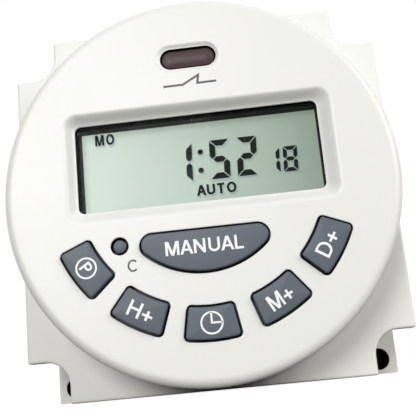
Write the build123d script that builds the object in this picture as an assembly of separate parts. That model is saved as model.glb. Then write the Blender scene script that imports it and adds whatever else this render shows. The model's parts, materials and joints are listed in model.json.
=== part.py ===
from build123d import *
import os

# Weekly programmable time switch: a round face with seven keys on a square notched flange,
# with mounting ears at the rear corners and a channel across the back for a 35 mm rail.
# Millimetres. +X right and +Z up as the face is read, and the face looks towards -Y.
# The origin is the middle of the rail seat. Depths are counted from the front face backwards.

# ---- overall sizes ----
flange_side = 60.0
total_depth = 32.0
seat_depth = 25.0
bezel_radius = 29.57

# ---- bezel ----
face_wall = 1.8
bezel_wall = 1.5
bezel_edge_round = 1.4
bezel_back = 9.9
bezel_inner_radius = bezel_radius - bezel_wall
snap_height = 0.3
snap_lip = 0.2
snap_groove_wide = 0.5
snap_bead_wide = 0.3
pillar_radius = 2.0
pillar_hole_radius = 0.9
pillar_hole_roof = 0.6
high_pillar_x, high_pillar_z = 0.481 * bezel_inner_radius, 0.67 * bezel_inner_radius
low_pillar_gap = 0.17
low_pillar_z = -(bezel_inner_radius - pillar_radius - low_pillar_gap)
pillar_places = [(-high_pillar_x, high_pillar_z), (high_pillar_x, high_pillar_z), (0.0, low_pillar_z)]

# ---- window and display ----
window_x, window_z = 0.03, 4.3
window_wide, window_high = 37.15, 13.8
window_corner = 1.0
bevel_x, bevel_z = 0.43, 4.15
bevel_wide, bevel_high = 40.54, 17.1
bevel_corner = 2.0
pane_front = 1.5
pane_thick = 1.0
pane_margin = 1.1
frame_margin = 1.7
opening_x, opening_z = 0.205, 4.025
opening_wide, opening_high = 36.5, 13.25
lcd_front = 4.3
glass_thick = 0.7
glass_wide, glass_high = 38.0, 15.4
glass_ledge = 1.6
reflector_thick = 0.3
zebra_high = 1.2
zebra_wide = 35.0
zebra_inset = 0.15

# ---- indicator lens ----
lens_z = 19.95
lens_wide, lens_high = 8.45, 3.15
lens_front = 0.6
lens_back = face_wall + 0.6
lens_bevel = 0.5
led_radius = 1.5
led_gap = 0.5
led_collar = 0.4
led_collar_thick = 0.8

# ---- keys ----
key_rim = 6.62
key_band = 4.65
key_outer_radius = bezel_radius - key_rim
key_inner_radius = key_outer_radius - key_band
key_half_angle = 9.95
key_pitch_angle = 28.7
key_corner = 0.5
key_proud = 0.6
key_gap = 0.3
key_edge_round = 0.25
key_travel = 0.8
key_skirt = 0.5
key_skirt_gap = 0.2
key_skirt_thick = 0.8
key_skirt_front = face_wall + key_skirt_gap
key_skirt_back = key_skirt_front + key_skirt_thick
stem_radius = 1.5
stem_long = 1.4
stem_end = key_skirt_back + stem_long
manual_gap = 4.93
manual_radius = key_inner_radius - manual_gap
manual_top_z = -7.0
manual_high = manual_radius + manual_top_z
manual_corner = min(1.6, 0.3 * manual_high)
reset_gap = 3.33
reset_x = -0.8318 * (key_inner_radius - reset_gap)
reset_z = -0.5551 * (key_inner_radius - reset_gap)
reset_radius = 1.03
reset_front = 0.2
reset_stem_radius = 0.8

# ---- keypad mat and logic board ----
board_front = 7.0
board_thick = 1.0
board_gap = 0.57
logic_radius = bezel_inner_radius - board_gap
web_thick = 1.0
mat_margin = 0.85
mat_radius = key_outer_radius + mat_margin
mat_top_z = -5.2
dome_radius = 2.2
dome_top_radius = 1.6
pill_radius = 1.3
pill_thick = 0.4
dome_wall = 0.6
dome_gap = 0.05

# ---- housing ----
flange_front = 10.3
flange_wall = 2.0
flange_thick = 2.5
body_inset = 1.5
body_notch_inset = 0.8
flange_edge_cut = 0.3
side_wall = 1.8
notch = 6.53
notch_corner = 3.8
spigot_front = 9.2
spigot_wall = 1.5
slip = 0.1
post_radius = 2.4
case_screw_x, case_screw_z = 25.65, 20.5
case_screw_radius = 1.2
case_head_radius = 2.1
case_head_thick = 1.6
case_hole_deep = 7.0

# ---- rear base ----
base_front = 22.0
base_plate_thick = 1.6
block_half_wide = 28.3
block_half_high = 25.0
ear_inner_x = 23.0
ear_low_z, ear_high_z = -30.0, 28.4
ear_hole_x, ear_hole_end = 25.4, 2.4
ear_hole_radius = 1.75
ear_floor = 1.2
pocket_floor = 23.5
rail_wide = 35.0
rail_clearance = 0.25
rail_thick = 1.0
hook_reach = 1.2
hook_thick = 2.2
hook_root = 0.5
hook_front = seat_depth + rail_thick + 0.3
hook_inner_x, hook_outer_x = 7.0, 20.0
relief_deep = 0.5
relief_margin = 0.3
core_wide, core_high, core_front = 9.5, 3.6, 27.0
core_pitch = 12.0
core_z = 21.5

# ---- terminals ----
cell_wide = 7.0
cell_pitch = 8.0
cell_first_x = 10.4
cell_floor = 26.2
cell_top_z = -18.6
screw_z = -21.6
bar_thick = 0.8
bar_wide = 5.6
riser_wide = 3.6
riser_thick = 0.8
clamp_thick = 0.8
clamp_side = 5.6
wire_gap = 2.0
terminal_screw_radius = 1.45
terminal_head_radius = 2.5
terminal_head_thick = 1.8
terminal_screw_tip = 24.6
terminal_head_round = 0.4
tip_clearance = 0.3
slot_deep = 0.8
bar_inset = 0.6
riser_front_gap = 0.8
clamp_hole_clearance = 0.15
slot_wide = 0.7

# ---- rail clip ----
clip_half_wide = 5.0
clip_clearance = 0.2
clip_front = hook_front
clip_thick = 3.3
clip_nose_thick = 2.2
clip_bottom_z = -29.2
clip_travel = 2.5
stop_half_wide = 1.0
stop_high = 1.0
stop_top_z = -23.4
window_half_wide = 1.8
clip_window_top_z = -18.9
pull_half_wide, pull_slot_high = 3.0, 1.3
pull_z = clip_bottom_z + 1.9
nose_lead = 0.9
spring_radius = 1.15
spring_wire_radius = 0.16
spring_pitch = 0.85
spring_end_gap = 0.05

# ---- power board and what it carries ----
power_front = 21.0
power_thick = 1.4
power_half_wide, power_half_high = 22.3, 22.7
power_corner = 21.3
power_clearance = 0.3
lead_radius = 0.35
film_cap = (-20.0, 3.0, 18.0, 6.0, 11.0)
film_cap_round = 0.5
can_x, can_z, can_radius, can_high = 8.5, -1.5, 4.0, 11.0
can_round, can_groove_deep = 0.5, 0.3
can_groove_back, can_groove_wide = 1.4, 0.5
varistor_x, varistor_z, varistor_radius, varistor_thick = 17.0, -2.5, 3.6, 3.0
varistor_round = 0.6
diode_radius, diode_long = 1.3, 5.0
diode_first_x, diode_pitch, diode_z, diode_count = 6.0, 4.2, 15.5, 4
diode_lead_long = 1.4
resistor_radius, resistor_long = 1.7, 9.0
resistor_x, resistor_z, resistor_pitch, resistor_count = -13.0, 14.5, 4.6, 2
resistor_lead_long = 1.5
link_first_x, link_pitch, link_count, link_z = 1.5, 2.54, 6, -9.0
pin_side = 0.64
header_high, socket_high = 2.5, 8.0

# ---- relay ----
relay_left, relay_wide = -21.3, 18.5
relay_bottom_z, relay_deep_z = -14.2, 12.5
relay_front = 8.5
relay_wall, relay_round = 0.6, 0.4
bobbin_wall = 0.5
relay_base_thick = 0.6
coil_left, coil_right = -19.0, -8.7
coil_radius, flange_radius, core_radius = 3.5, 4.0, 1.5
coil_depth = 15.2
bobbin_flange_thick = 0.6
yoke_half_high = 4.0
yoke_thick = 0.8
core_gap_x = -8.5
armature_left, armature_thick = -7.7, 1.0
armature_top, armature_foot, armature_half_high = 11.6, 19.4, 3.6
blade_thick, blade_top, blade_half_high, blade_foot = 0.3, 9.5, 1.8, 18.4
strip_thick, strip_gap, strip_below = 0.5, 0.1, 0.6
contact_radius, contact_thick, contact_depth = 0.8, 0.5, 10.3
fixed_contact_x, fixed_contact_radius = -8.6, 0.6

# ---- screws ----
screw_clearance = 0.2
cross_half_wide = 0.22
cross_deep = 0.6
board_screw_long = 4.0
board_head_radius, board_head_thick = 1.8, 1.1
board_cross_half = 1.1
case_screw_long = 6.0
case_cross_half = 1.3
case_screw_sink = 0.6

# ---- logic board parts ----
battery_x, battery_z, battery_radius, battery_thick = 13.0, 10.5, 6.0, 5.0
battery_round = 0.5
blob_x, blob_z, blob_radius, blob_high = -12.0, 10.5, 4.5, 1.5
blob_top_radius, blob_round = 2.5, 0.6
crystal_x, crystal_z, crystal_radius, crystal_long = -2.0, 14.0, 1.0, 6.0
crystal_round = 0.25
chip_z, chip_pitch, chip_count = low_pillar_z + 7.4, 4.6, 5
chip_half_wide, chip_half_high, chip_thick = 1.5, 1.0, 0.9


# ================= helpers =================

def facing(depth):
    # a plane at a depth behind the front face: its x is X, its y is Z, and it looks out of the face
    return Plane(origin=(0, depth - seat_depth, 0), x_dir=(1, 0, 0), z_dir=(0, -1, 0))


def slab(outline, front, back):
    return extrude(facing(back) * outline, amount=back - front)


def rod(radius, front, back, x=0.0, z=0.0):
    return slab(Pos(x, z) * Circle(radius), front, back)


def block(x0, x1, z0, z1, front, back):
    return slab(Pos((x0 + x1) / 2, (z0 + z1) / 2) * Rectangle(x1 - x0, z1 - z0), front, back)


def lying_rod(radius, x0, x1, z, depth):
    # a round bar along X
    start = Plane(origin=(x0, depth - seat_depth, z), x_dir=(0, 1, 0), z_dir=(1, 0, 0))
    return extrude(start * Circle(radius), amount=x1 - x0)


def cross_recess(x, z, half_long, back):
    # the cross that a screwdriver fits, cut from a head whose outer face is at this depth
    front = back - cross_deep
    recess = block(x - half_long, x + half_long, z - cross_half_wide, z + cross_half_wide, front, back)
    return recess + block(x - cross_half_wide, x + cross_half_wide, z - half_long, z + half_long,
                          front, back)


def mirrored(x, z):
    return [(side * x, level * z) for side in (-1, 1) for level in (-1, 1)]


# ================= outlines =================

def window_outline(margin=0.0):
    return Pos(window_x, window_z) * RectangleRounded(
        window_wide + 2 * margin, window_high + 2 * margin, window_corner + margin)


def bevel_outline():
    return Pos(bevel_x, bevel_z) * RectangleRounded(bevel_wide, bevel_high, bevel_corner)


def lens_outline(margin=0.0):
    high = lens_high + 2 * margin
    return Pos(0, lens_z) * SlotOverall(lens_wide + 2 * margin, high)


def sector_outline(angle):
    # a piece of a ring around the middle of the face, angle counted from straight down
    reach = 2 * key_outer_radius
    half = key_half_angle
    side = Rot(0, 0, -90 + half) * Rectangle(reach, reach, align=(Align.MIN, Align.MIN))
    other = Rot(0, 0, -90 - half) * Rectangle(reach, reach, align=(Align.MIN, Align.MAX))
    ring = Circle(key_outer_radius) - Circle(key_inner_radius)
    lower = Pos(0, -reach / 2) * Rectangle(reach, reach)
    piece = (ring & lower) - side - other
    piece = fillet(piece.vertices(), key_corner)
    return Rot(0, 0, angle) * piece


def manual_outline():
    reach = 2 * manual_radius
    lower = Pos(0, manual_top_z - reach / 2) * Rectangle(reach, reach)
    piece = Circle(manual_radius) & lower
    return fillet(piece.vertices(), manual_corner)


def notched_outline(inset=0.0, notch_inset=0.0):
    # the square with its four corners cut out; the inner corner of each notch is rounded
    side = flange_side - 2 * inset
    outline = Rectangle(side, side)
    edge = flange_side / 2 - notch - notch_inset
    for x, z in mirrored(edge + side / 2, edge + side / 2):
        cut = Pos(x, z) * RectangleRounded(side, side, notch_corner)
        outline -= cut
    return outline


def body_outline(inset=0.0):
    # the walls behind the flange: a little narrower than it all round
    return notched_outline(body_inset + inset, body_notch_inset + inset)


def ears_outline():
    wide = block_half_wide - ear_inner_x
    middle = (block_half_wide + ear_inner_x) / 2
    high = ear_high_z - ear_low_z
    outline = Pos(middle, ear_low_z + high / 2) * Rectangle(wide, high)
    outline += Pos(-middle, ear_low_z + high / 2) * Rectangle(wide, high)
    return outline


def block_outline():
    return Rectangle(2 * block_half_wide, 2 * block_half_high)


key_names = ["key_program", "key_hour", "key_clock", "key_minute", "key_day"]
key_angles = [key_pitch_angle * (place - 2) for place in range(5)]


def key_middle(angle):
    middle = (key_inner_radius + key_outer_radius) / 2
    spot = Vector(0, -middle).rotate(Axis.Z, angle)
    return spot.X, spot.Y


press_spots = [key_middle(angle) for angle in key_angles]
press_spots.append((0.0, (manual_top_z - manual_radius) / 2))
press_spots.append((reset_x, reset_z))


# ================= face =================

def front_bezel():
    shell = rod(bezel_radius, 0, bezel_back)
    rim = shell.edges().filter_by(GeomType.CIRCLE).sort_by(Axis.Y)[0]
    shell = fillet(rim, bezel_edge_round)
    inner = bezel_inner_radius
    shell -= rod(inner, face_wall, bezel_back)
    groove_back = bezel_back - snap_lip
    shell -= rod(inner + snap_height, groove_back - snap_groove_wide, groove_back)
    shell += [rod(pillar_radius, face_wall, board_front, x, z) for x, z in pillar_places]
    hole_front = face_wall + pillar_hole_roof
    shell -= [rod(pillar_hole_radius, hole_front, board_front, x, z) for x, z in pillar_places]
    outer = facing(0) * bevel_outline()
    inner_edge = facing(pane_front) * window_outline()
    shell -= loft([outer.face(), inner_edge.face()])
    shell -= slab(window_outline(), 0, face_wall)
    shell -= slab(window_outline(pane_margin + slip), pane_front, face_wall)
    shell -= slab(lens_outline(slip), 0, face_wall)
    lens_rim = facing(0) * lens_outline(slip + lens_bevel)
    lens_edge = facing(lens_front) * lens_outline(slip)
    shell -= loft([lens_rim.face(), lens_edge.face()])
    for angle in key_angles:
        shell -= slab(offset(sector_outline(angle), key_gap), 0, face_wall)
    shell -= slab(offset(manual_outline(), key_gap), 0, face_wall)
    shell -= rod(reset_radius + key_gap, 0, face_wall, reset_x, reset_z)
    return shell


def display_window():
    return slab(window_outline(pane_margin), pane_front, pane_front + pane_thick)


def lcd_frame():
    front = pane_front + pane_thick
    holder = slab(window_outline(frame_margin), front, board_front)
    opening = Pos(opening_x, opening_z) * Rectangle(opening_wide, opening_high)
    holder -= slab(opening, front, board_front)
    pocket = Pos(window_x, window_z) * Rectangle(glass_wide + 2 * slip, glass_high + 2 * slip)
    return holder - slab(pocket, lcd_front, board_front)


def glass(front, back, ledge):
    outline = Pos(window_x, window_z + ledge / 2) * Rectangle(glass_wide, glass_high - ledge)
    return slab(outline, front, back)


def zebra_strip():
    low = window_z - glass_high / 2 + zebra_inset
    front = lcd_front + glass_thick
    return block(window_x - zebra_wide / 2, window_x + zebra_wide / 2, low, low + zebra_high,
                 front, board_front)


def indicator_lens():
    lens = slab(lens_outline(), lens_front, lens_back)
    return lens + slab(lens_outline(lens_bevel), face_wall, lens_back)


def indicator_led():
    dome_middle = lens_back + led_gap + led_radius
    body = rod(led_radius, dome_middle, board_front, 0, lens_z)
    body += Pos(0, dome_middle - seat_depth, lens_z) * Sphere(led_radius)
    collar_front = board_front - led_collar_thick
    return body + rod(led_radius + led_collar, collar_front, board_front, 0, lens_z)


# ================= keys =================

dome_top = stem_end + key_travel + dome_gap
pill_front = dome_top + dome_wall


def keycap(outline, spot, front=-key_proud, skirt=key_skirt, stem=stem_radius):
    cap = slab(outline, front, key_skirt_back)
    face = cap.faces().sort_by(Axis.Y)[0]
    cap = fillet(face.edges(), key_edge_round)
    cap += slab(offset(outline, skirt), key_skirt_front, key_skirt_back)
    return cap + rod(stem, key_skirt_back, stem_end, *spot)


def keypad_mat():
    web_front = board_front - web_thick
    lower = Pos(0, mat_top_z - mat_radius) * Rectangle(2 * mat_radius, 2 * mat_radius)
    web = Circle(mat_radius) & lower
    mat = slab(web, web_front, board_front)
    for x, z in press_spots:
        foot = facing(web_front) * Pos(x, z) * Circle(dome_radius)
        crown = facing(dome_top) * Pos(x, z) * Circle(dome_top_radius)
        mat += loft([foot.face(), crown.face()])
    mat -= [rod(pill_radius, pill_front, board_front, x, z) for x, z in press_spots]
    return mat


def contact_pills():
    pill_back = pill_front + pill_thick
    return Compound([rod(pill_radius, pill_front, pill_back, x, z) for x, z in press_spots])


# ================= logic board =================

board_back = board_front + board_thick


def logic_board():
    board = rod(logic_radius, board_front, board_back)
    hole = pillar_hole_radius + screw_clearance
    board -= [rod(hole, board_front, board_back, x, z) for x, z in pillar_places]
    return board


def board_screws():
    screws = []
    for x, z in pillar_places:
        screw = rod(pillar_hole_radius, board_front - board_screw_long, board_back, x, z)
        head_back = board_back + board_head_thick
        head = rod(board_head_radius, board_back, head_back, x, z)
        screws.append(screw + head - cross_recess(x, z, board_cross_half, head_back))
    return Compound(screws)


def controller_blob():
    foot = facing(board_back) * Pos(blob_x, blob_z) * Circle(blob_radius)
    crown = facing(board_back + blob_high) * Pos(blob_x, blob_z) * Circle(blob_top_radius)
    blob = loft([foot.face(), crown.face()])
    top = blob.faces().sort_by(Axis.Y)[-1]
    return fillet(top.edges(), blob_round)


def crystal():
    depth = board_back + crystal_radius
    can = lying_rod(crystal_radius, crystal_x - crystal_long / 2, crystal_x + crystal_long / 2,
                    crystal_z, depth)
    return fillet(can.edges(), crystal_round)


def backup_battery():
    cell = rod(battery_radius, board_back, board_back + battery_thick, battery_x, battery_z)
    return fillet(cell.edges(), battery_round)


def surface_chips():
    chips = []
    for place in range(chip_count):
        x = (place - (chip_count - 1) / 2) * chip_pitch
        chips.append(block(x - chip_half_wide, x + chip_half_wide, chip_z - chip_half_high,
                           chip_z + chip_half_high, board_back, board_back + chip_thick))
    return Compound(chips)


# ================= housing =================

spigot_radius = bezel_inner_radius - slip


def flange_housing():
    shell = slab(notched_outline(), flange_front, flange_front + flange_thick)
    front_edges = shell.faces().sort_by(Axis.Y)[0].edges()
    shell = chamfer(front_edges, flange_edge_cut)
    shell += slab(body_outline(), flange_front + flange_wall, base_front)
    shell -= slab(body_outline(side_wall), flange_front + flange_wall, base_front)
    shell += rod(spigot_radius, spigot_front, flange_front + flange_wall)
    bead_front = bezel_back - snap_lip - (snap_groove_wide + snap_bead_wide) / 2
    shell += rod(spigot_radius + snap_height - slip, bead_front, bead_front + snap_bead_wide)
    shell -= rod(spigot_radius - spigot_wall, spigot_front, flange_front + flange_wall)
    for x, z in mirrored(case_screw_x, case_screw_z):
        post = rod(post_radius, flange_front + flange_wall, base_front, x, z)
        shell += post & slab(body_outline(side_wall / 2), flange_front, base_front)
    shell -= [rod(case_screw_radius, base_front - case_hole_deep, base_front, x, z)
              for x, z in mirrored(case_screw_x, case_screw_z)]
    return shell


# ================= rear base =================

cell_middles = [side * (cell_first_x + place * cell_pitch) for side in (-1, 1) for place in (0, 1)]
riser_z = cell_top_z - slip - riser_thick / 2
channel_edge = rail_wide / 2 + rail_clearance
case_screw_seat = total_depth - case_head_thick - case_screw_sink


def rear_base():
    past = 1.0
    plate = slab(body_outline() + ears_outline(), base_front, base_front + base_plate_thick)
    base = plate + slab(block_outline() + ears_outline(), base_front, total_depth)
    pocket = Rectangle(2 * (power_half_wide + power_clearance), 2 * (power_half_high + power_clearance))
    base -= slab(pocket, base_front, pocket_floor)
    base -= block(-2 * block_half_wide, 2 * block_half_wide, -channel_edge, channel_edge,
                  seat_depth, total_depth)
    low = rail_wide / 2 - hook_reach
    for side in (-1, 1):
        left, right = sorted((side * hook_inner_x, side * hook_outer_x))
        base -= block(left - relief_margin, right + relief_margin, low - relief_margin, channel_edge,
                      seat_depth - relief_deep, seat_depth)
        base += block(left, right, low, channel_edge + hook_root, hook_front, hook_front + hook_thick)
    relief_half = clip_half_wide + relief_margin
    base -= block(-relief_half, relief_half, -channel_edge, relief_margin - low,
                  seat_depth - relief_deep, seat_depth)
    for place in (-1.5, -0.5, 0.5, 1.5):
        x = place * core_pitch
        base -= block(x - core_wide / 2, x + core_wide / 2, core_z - core_high / 2,
                      core_z + core_high / 2, core_front, total_depth)
    for x in cell_middles:
        base -= block(x - cell_wide / 2, x + cell_wide / 2, -block_half_high - past, cell_top_z,
                      cell_floor, total_depth)
        base -= rod(terminal_screw_radius + tip_clearance, terminal_screw_tip - tip_clearance,
                    cell_floor, x, screw_z)
        base -= block(x - riser_wide / 2 - slip, x + riser_wide / 2 + slip, riser_z - riser_thick / 2,
                      riser_z + riser_thick / 2, base_front, cell_floor)
    tunnel_half = clip_half_wide + clip_clearance
    tunnel_front = clip_front - clip_clearance
    tunnel_back = clip_front + clip_thick + clip_clearance
    tunnel = block(-tunnel_half, tunnel_half, -block_half_high - past, past - channel_edge,
                   tunnel_front, tunnel_back)
    tunnel -= block(-stop_half_wide, stop_half_wide, stop_top_z - stop_high, stop_top_z,
                    tunnel_front, tunnel_back)
    base -= tunnel
    for z in (ear_low_z + ear_hole_end, ear_high_z - ear_hole_end):
        for x in (-ear_hole_x, ear_hole_x):
            base -= rod(ear_hole_radius, base_front, total_depth - ear_floor, x, z)
    for x, z in mirrored(case_screw_x, case_screw_z):
        base -= rod(case_screw_radius + screw_clearance, base_front, total_depth, x, z)
        base -= rod(case_head_radius + screw_clearance, case_screw_seat, total_depth, x, z)
    return base


def case_screws():
    screws = []
    for x, z in mirrored(case_screw_x, case_screw_z):
        screw = rod(case_screw_radius, base_front - case_screw_long, case_screw_seat, x, z)
        head_back = case_screw_seat + case_head_thick
        head = rod(case_head_radius, case_screw_seat, head_back, x, z)
        screws.append(screw + head - cross_recess(x, z, case_cross_half, head_back))
    return Compound(screws)


# ================= terminals =================

bar_back = cell_floor + bar_thick
clamp_front = bar_back + wire_gap
clamp_back = clamp_front + clamp_thick


def terminal_bars():
    bars = []
    for x in cell_middles:
        bar = block(x - bar_wide / 2, x + bar_wide / 2, bar_inset - block_half_high,
                    riser_z + riser_thick / 2, cell_floor, bar_back)
        bar += block(x - riser_wide / 2, x + riser_wide / 2, riser_z - riser_thick / 2,
                     riser_z + riser_thick / 2, power_front - riser_front_gap, bar_back)
        bars.append(bar - rod(terminal_screw_radius, cell_floor, bar_back, x, screw_z))
    return Compound(bars)


def terminal_clamps():
    clamps = []
    for x in cell_middles:
        clamp = block(x - clamp_side / 2, x + clamp_side / 2, screw_z - clamp_side / 2,
                      screw_z + clamp_side / 2, clamp_front, clamp_back)
        hole_radius = terminal_screw_radius + clamp_hole_clearance
        clamps.append(clamp - rod(hole_radius, clamp_front, clamp_back, x, screw_z))
    return Compound(clamps)


def terminal_screws():
    screws = []
    for x in cell_middles:
        screw = rod(terminal_screw_radius, terminal_screw_tip, clamp_back, x, screw_z)
        head = rod(terminal_head_radius, clamp_back, clamp_back + terminal_head_thick, x, screw_z)
        head = fillet(head.faces().sort_by(Axis.Y)[-1].edges(), terminal_head_round)
        back = clamp_back + terminal_head_thick
        groove = block(x - terminal_head_radius, x + terminal_head_radius, screw_z - slot_wide / 2,
                       screw_z + slot_wide / 2, back - slot_deep, back)
        screws.append(screw + head - groove)
    return Compound(screws)


# ================= rail clip =================

def rail_clip():
    top = -rail_wide / 2 + hook_reach
    clip = block(-clip_half_wide, clip_half_wide, clip_bottom_z, -channel_edge,
                 clip_front, clip_front + clip_thick)
    nose = block(-clip_half_wide, clip_half_wide, -channel_edge, top,
                 clip_front, clip_front + clip_nose_thick)
    lead = nose.edges().sort_by(Axis.Z)[-4:].sort_by(Axis.Y)[-1]
    clip += chamfer(lead, nose_lead)
    clip -= block(-window_half_wide, window_half_wide, stop_top_z - stop_high - clip_clearance,
                  clip_window_top_z, clip_front, clip_front + clip_thick)
    clip -= block(-pull_half_wide, pull_half_wide, pull_z - pull_slot_high / 2,
                  pull_z + pull_slot_high / 2, clip_front, clip_front + clip_thick)
    return clip


def clip_spring():
    gap = spring_end_gap + spring_wire_radius
    long = clip_window_top_z - stop_top_z - 2 * gap
    path = Helix(pitch=spring_pitch, height=long, radius=spring_radius)
    start = Plane(origin=path @ 0, z_dir=path % 0)
    coil = sweep(start * Circle(spring_wire_radius), path=path, is_frenet=True)
    return Pos(0, clip_front + clip_thick / 2 - seat_depth, stop_top_z + gap) * coil


# ================= power board =================

power_back = power_front + power_thick


def power_board():
    outline = Rectangle(2 * power_half_wide, 2 * power_half_high)
    corner = power_half_high
    for x, z in mirrored(power_corner + corner / 2, power_corner + corner / 2):
        outline -= Pos(x, z) * Rectangle(corner, corner)
    board = slab(outline, power_front, power_back)
    for x in cell_middles:
        board -= block(x - riser_wide / 2 - slip, x + riser_wide / 2 + slip,
                       riser_z - riser_thick / 2 - slip, riser_z + riser_thick / 2 + slip,
                       power_front, power_back)
    return board


def film_capacitor():
    x, z, wide, deep, high = film_cap
    body = block(x, x + wide, z, z + deep, power_front - high, power_front)
    return fillet(body.edges().filter_by(Axis.Y), film_cap_round)


def smoothing_capacitor():
    can = rod(can_radius, power_front - can_high, power_front, can_x, can_z)
    groove_back = power_front - can_groove_back
    groove_front = groove_back - can_groove_wide
    groove = rod(can_radius, groove_front, groove_back, can_x, can_z)
    groove -= rod(can_radius - can_groove_deep, groove_front, groove_back, can_x, can_z)
    return fillet((can - groove).faces().sort_by(Axis.Y)[0].edges(), can_round)


def varistor():
    depth = power_front - varistor_radius
    middle = varistor_x - varistor_thick / 2
    disc = lying_rod(varistor_radius, middle, middle + varistor_thick, varistor_z, depth)
    return fillet(disc.edges(), varistor_round)


def rectifier_diodes():
    diodes = []
    for place in range(diode_count):
        x = diode_first_x + place * diode_pitch
        axis = Plane(origin=(x, power_front - diode_radius - seat_depth, diode_z), z_dir=(0, 0, 1))
        body = extrude(axis * Circle(diode_radius), amount=diode_long)
        ends = extrude(axis.offset(-diode_lead_long) * Circle(lead_radius),
                       amount=diode_long + 2 * diode_lead_long)
        low = diode_z - diode_lead_long + lead_radius
        high = diode_z + diode_long + diode_lead_long - lead_radius
        legs = [rod(lead_radius, power_front - diode_radius, power_front, x, end) for end in (low, high)]
        diodes.append(body + ends + legs)
    return Compound(diodes)


def power_resistors():
    resistors = []
    for place in range(resistor_count):
        z = resistor_z + place * resistor_pitch
        left = resistor_x - resistor_long / 2
        right = left + resistor_long
        depth = power_front - resistor_radius
        body = lying_rod(resistor_radius, left, right, z, depth)
        left -= resistor_lead_long
        right += resistor_lead_long
        body += lying_rod(lead_radius, left, right, z, depth)
        body += [rod(lead_radius, depth, power_front, end, z)
                 for end in (left + lead_radius, right - lead_radius)]
        resistors.append(body)
    return Compound(resistors)


def link_pins():
    pins = []
    for place in range(link_count):
        x = link_first_x + place * link_pitch
        half = pin_side / 2
        pins.append(block(x - half, x + half, link_z - half, link_z + half, board_back, power_front))
    return Compound(pins)


def link_block(front, back):
    half = link_pitch / 2
    body = block(link_first_x - half, link_first_x + (link_count - 0.5) * link_pitch,
                 link_z - half, link_z + half, front, back)
    for place in range(link_count):
        x = link_first_x + place * link_pitch
        pin = pin_side / 2
        body -= block(x - pin, x + pin, link_z - pin, link_z + pin, front, back)
    return body


# ================= relay =================

relay_right = relay_left + relay_wide
relay_top_z = relay_bottom_z + relay_deep_z
relay_mid_z = (relay_bottom_z + relay_top_z) / 2
relay_floor = power_front - relay_base_thick
yoke_front = relay_floor - yoke_thick


def relay_case():
    case = block(relay_left, relay_right, relay_bottom_z, relay_top_z, relay_front, power_front)
    case = fillet(case.faces().sort_by(Axis.Y)[0].edges(), relay_round)
    return case - block(relay_left + relay_wall, relay_right - relay_wall, relay_bottom_z + relay_wall,
                        relay_top_z - relay_wall, relay_front + relay_wall, power_front)


def relay_base():
    return block(relay_left + relay_wall, relay_right - relay_wall, relay_bottom_z + relay_wall,
                 relay_top_z - relay_wall, relay_floor, power_front)


def relay_bobbin():
    bobbin = lying_rod(core_radius + bobbin_wall, coil_left, coil_right, relay_mid_z, coil_depth)
    for left in (coil_left, coil_right - bobbin_flange_thick):
        bobbin += lying_rod(flange_radius, left, left + bobbin_flange_thick, relay_mid_z, coil_depth)
    return bobbin - lying_rod(core_radius, coil_left, coil_right, relay_mid_z, coil_depth)


def relay_winding():
    left = coil_left + bobbin_flange_thick
    right = coil_right - bobbin_flange_thick
    turns = lying_rod(coil_radius, left, right, relay_mid_z, coil_depth)
    return turns - lying_rod(core_radius + bobbin_wall, left, right, relay_mid_z, coil_depth)


def relay_yoke():
    low, high = relay_mid_z - yoke_half_high, relay_mid_z + yoke_half_high
    back_leg = coil_left - yoke_thick
    yoke = block(back_leg, coil_left, low, high, coil_depth - flange_radius, relay_floor)
    yoke += block(back_leg, armature_left + armature_thick, low, high, yoke_front, relay_floor)
    return yoke + lying_rod(core_radius, coil_left, core_gap_x, relay_mid_z, coil_depth)


def relay_armature():
    return block(armature_left, armature_left + armature_thick, relay_mid_z - armature_half_high,
                 relay_mid_z + armature_half_high, armature_top, armature_foot)


def moving_contact():
    left = armature_left + armature_thick
    blade = block(left, left + blade_thick, relay_mid_z - blade_half_high,
                  relay_mid_z + blade_half_high, blade_top, blade_foot)
    tip = left - contact_thick
    return blade + lying_rod(contact_radius, tip, left, relay_mid_z, contact_depth)


def fixed_contact():
    low, high = relay_mid_z - blade_half_high, relay_mid_z + blade_half_high
    left = relay_left + relay_wall + strip_gap
    face_x = fixed_contact_x - contact_thick
    part = block(left, left + strip_thick, low, high, blade_top, relay_floor)
    part += block(left, face_x, low, high, blade_top, blade_top + strip_thick)
    part += block(face_x - strip_thick, face_x, low, high, blade_top, contact_depth + strip_below)
    return part + lying_rod(fixed_contact_radius, face_x, fixed_contact_x, relay_mid_z, contact_depth)


# ================= everything =================

back_of_front_glass = lcd_front + glass_thick
back_of_rear_glass = back_of_front_glass + glass_thick

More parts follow.
